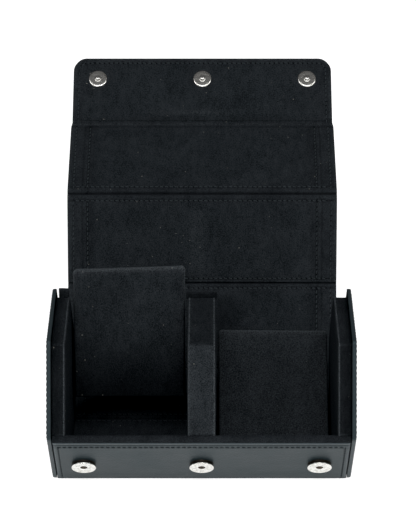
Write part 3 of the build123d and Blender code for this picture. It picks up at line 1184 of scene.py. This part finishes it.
def pad(hand, panel, side, tilt, tone):
    """A suede-covered slab with soft edges. tone paints the pad lighter all over (painted light) or darker
    towards its foot (painted shade).
    """
    half, thick, squareness = panel.half, PAD_THICKNESS / 2, 3.5
    across = spaced(-half, half, 2.0, (-half + 1.5, half - 1.5), 0.5) / half
    straight = spaced(0, panel.length - PAD_CORNER, 2.0, (1.5,), 0.5)
    rows, halves = corner_rows(panel, straight, PAD_CORNER, 84, 8)
    x = halves[:, None] * across[None, :]
    s = np.repeat(rows[:, None], len(across), 1)
    sides = halves[:, None] - np.abs(x)
    edge = np.maximum(np.minimum(sides, np.minimum(s, panel.length - s)), 0)
    fall = np.clip(1 - edge / thick, 0, 1)
    swell = np.maximum(thick * (1 - fall ** squareness) ** (1 / squareness), 0.3)
    lift = tilt * (x / half) * (s / panel.length) ** 2
    low, top = (panel.at(x + side * SEAT_X, s + lift, way * swell - thick) for way in (-1, 1))
    made = closed_grid(f"{hand}_pad_suede", low, top, SUEDE)
    settle(made, 0.9, 3.0)
    worn_and_lit = 0.7 * fade(panel.length - s, 1.0) + 0.7 * fade(sides, 0.6) * smooth_step(s, 40, 75)
    # Edges lighter from abrasion; tone adds painted light all over or painted shade towards the foot.
    paint(made, wear=worn_and_lit + max(tone, 0), press=max(-tone, 0) * (1 - smooth_step(s, 2, 42)))
    finish(made, f"{hand}_pad", "black_suede", f"pad_cover_{hand}", f"pad_core_{hand}")


# ---- snaps

# Each profile runs from axis to axis as (radius, height above the face the snap sits on).
SOCKET_PROFILE = [
    (0, 1.6), (1.9, 1.6), (1.93, 1.9), (2.05, 2.12), (2.4, 2.22), (3.2, 2.2), (4.6, 2.24),
    (5.5, 2.42), (6.1, 2.56), (6.6, 2.54), (6.85, 2.42), (6.97, 2.2), (7.0, 1.95), (6.97, 1.75),
    (6.85, 1.62), (6.5, 1.58), (0, 1.58),
]
# Painted shadow under each socket's disc, as a dark ring.
SHADOW_RING_PROFILE = [
    (0, 1.59), (6.55, 1.59), (6.62, 1.5), (6.62, 1.2), (6.62, 0.7), (6.62, 0.35), (6.75, 0.15),
    (6.8, -0.05), (6.7, -0.3), (0, -0.3),
]
STUD_PROFILE = [
    (0, 2.2), (0.8, 2.17), (1.3, 1.95), (1.55, 1.6), (1.6, 1.1), (1.7, 0.75), (2.1, 0.62),
    (3.0, 0.66), (4.6, 0.66), (5.3, 0.58), (5.75, 0.38), (5.85, 0.1), (5.85, -0.2), (0, -0.2),
]
SOCKET_CORE = [(0, 1.75), (0.9, 1.75), (1.3, 1.85), (1.7, 2.05), (1.9, 2.1), (1.9, 1.605), (0, 1.605)]


def snaps():
    """Three sockets on the front wall and three studs on the flap."""
    def placer(panel, x, s, height, direction):
        return lambda a, b, h: panel.at(x + a, s + b, height + direction * h)

    for number, x in enumerate((-SNAP_PITCH, 0.0, SNAP_PITCH)):
        place = placer(FRONT_WALL, x, SOCKET_DROP - WALL_DROP, SEATING, -1)
        socket = lathe(f"snap_socket_{number}", SOCKET_PROFILE, place, NICKEL)
        finish(socket, "case", "nickel", "snap_socket_shells")
        # Each socket's core, and the dark ring of painted shadow under its disc.
        for part, profile, look in (("core", SOCKET_CORE, MAGNET), ("ring", SHADOW_RING_PROFILE, SOCKET_SHADOW_RING)):
            finish(lathe(f"snap_{part}_{number}", profile, place, look), "case", "magnet")
        place = placer(FLAP, x, STUD_REACH, FLAP_WRAP - SEATING, 1)
        stud = lathe(f"snap_stud_{number}", STUD_PROFILE, place, NICKEL)
        finish(stud, "snap_flap", "nickel", "snap_studs")


# ---- camera, light and floor

CAMERA_PLACE = (3.6 * MM, -0.9812, 0.7247)
CAMERA_PITCH = 31.19
CAMERA_LENS = 142.8
FLOOR_GAP = 0.2  # between the object and the studio floor


def camera():
    """A long lens over the front of the case."""
    data = bpy.data.cameras.new("camera")
    data.lens = CAMERA_LENS
    data.sensor_width = 36.0
    data.clip_start = 0.05
    data.clip_end = 20
    made = into_scene("camera", data)
    made.location = CAMERA_PLACE
    made.rotation_euler = (radians(90 - CAMERA_PITCH), 0, 0)
    bpy.context.scene.camera = made


def area_light(name, place, target, size, power):
    """A soft square light that points at a target."""
    data = bpy.data.lights.new(name, "AREA")
    data.shape = "RECTANGLE"
    data.size, data.size_y = size
    data.energy = power
    made = into_scene(name, data)
    made.location = place
    made.rotation_euler = (Vector(target) - Vector(place)).to_track_quat("-Z", "Y").to_euler()


def studio():
    """A bright pale floor, a large soft light over the camera and weaker ones beside it."""
    world = bpy.data.worlds.new("studio")
    world.use_nodes = True
    back = world.node_tree.nodes["Background"]
    back.inputs["Color"].default_value = (1, 1, 1, 1)
    back.inputs["Strength"].default_value = 0.12
    bpy.context.scene.world = world
    view = bpy.context.scene.view_settings
    view.view_transform = "Standard"
    view.use_curve_mapping = True
    view.curve_mapping.black_level = (0.002, 0.002, 0.002)
    view.curve_mapping.update()
    reach = 12.0
    corners = [(-reach, -reach, 0), (reach, -reach, 0), (reach, reach, 0), (-reach, reach, 0)]
    s = Shader("pale_floor")
    s.set(Base_Color=s.ramp(s.noise(3, 2, 0.5), [(0.3, 0.88), (0.7, 0.92)]))
    s.set(Roughness=0.9, Specular_IOR_Level=0.1, Emission_Color=(1.0, 1.0, 1.0), Emission_Strength=0.65)
    floor = new_object("studio_floor", corners, [(0, 1, 2, 3)], s.material, False)
    floor.location.z = -FLOOR_GAP * MM
    target = (0, 0.03, 0.05)
    area_light("over_camera", (0.0, -1.0, 1.4), target, (1.2, 0.8), 18)
    area_light("left", (-1.1, -0.5, 1.05), target, (0.8, 0.8), 8.5)
    area_light("right", (1.1, -0.5, 1.05), target, (0.8, 0.8), 8.5)


camera()
studio()
finish_cad_nodes()
lid()
front_wall()
case()
# The left pad is painted darker towards its foot (painted shade); the right pad a little lighter all over
# (painted light).
pad("left", LEFT_PAD, -1, 1.1, -0.7)
pad("right", RIGHT_PAD, 1, -0.3, 0.12)
snaps()
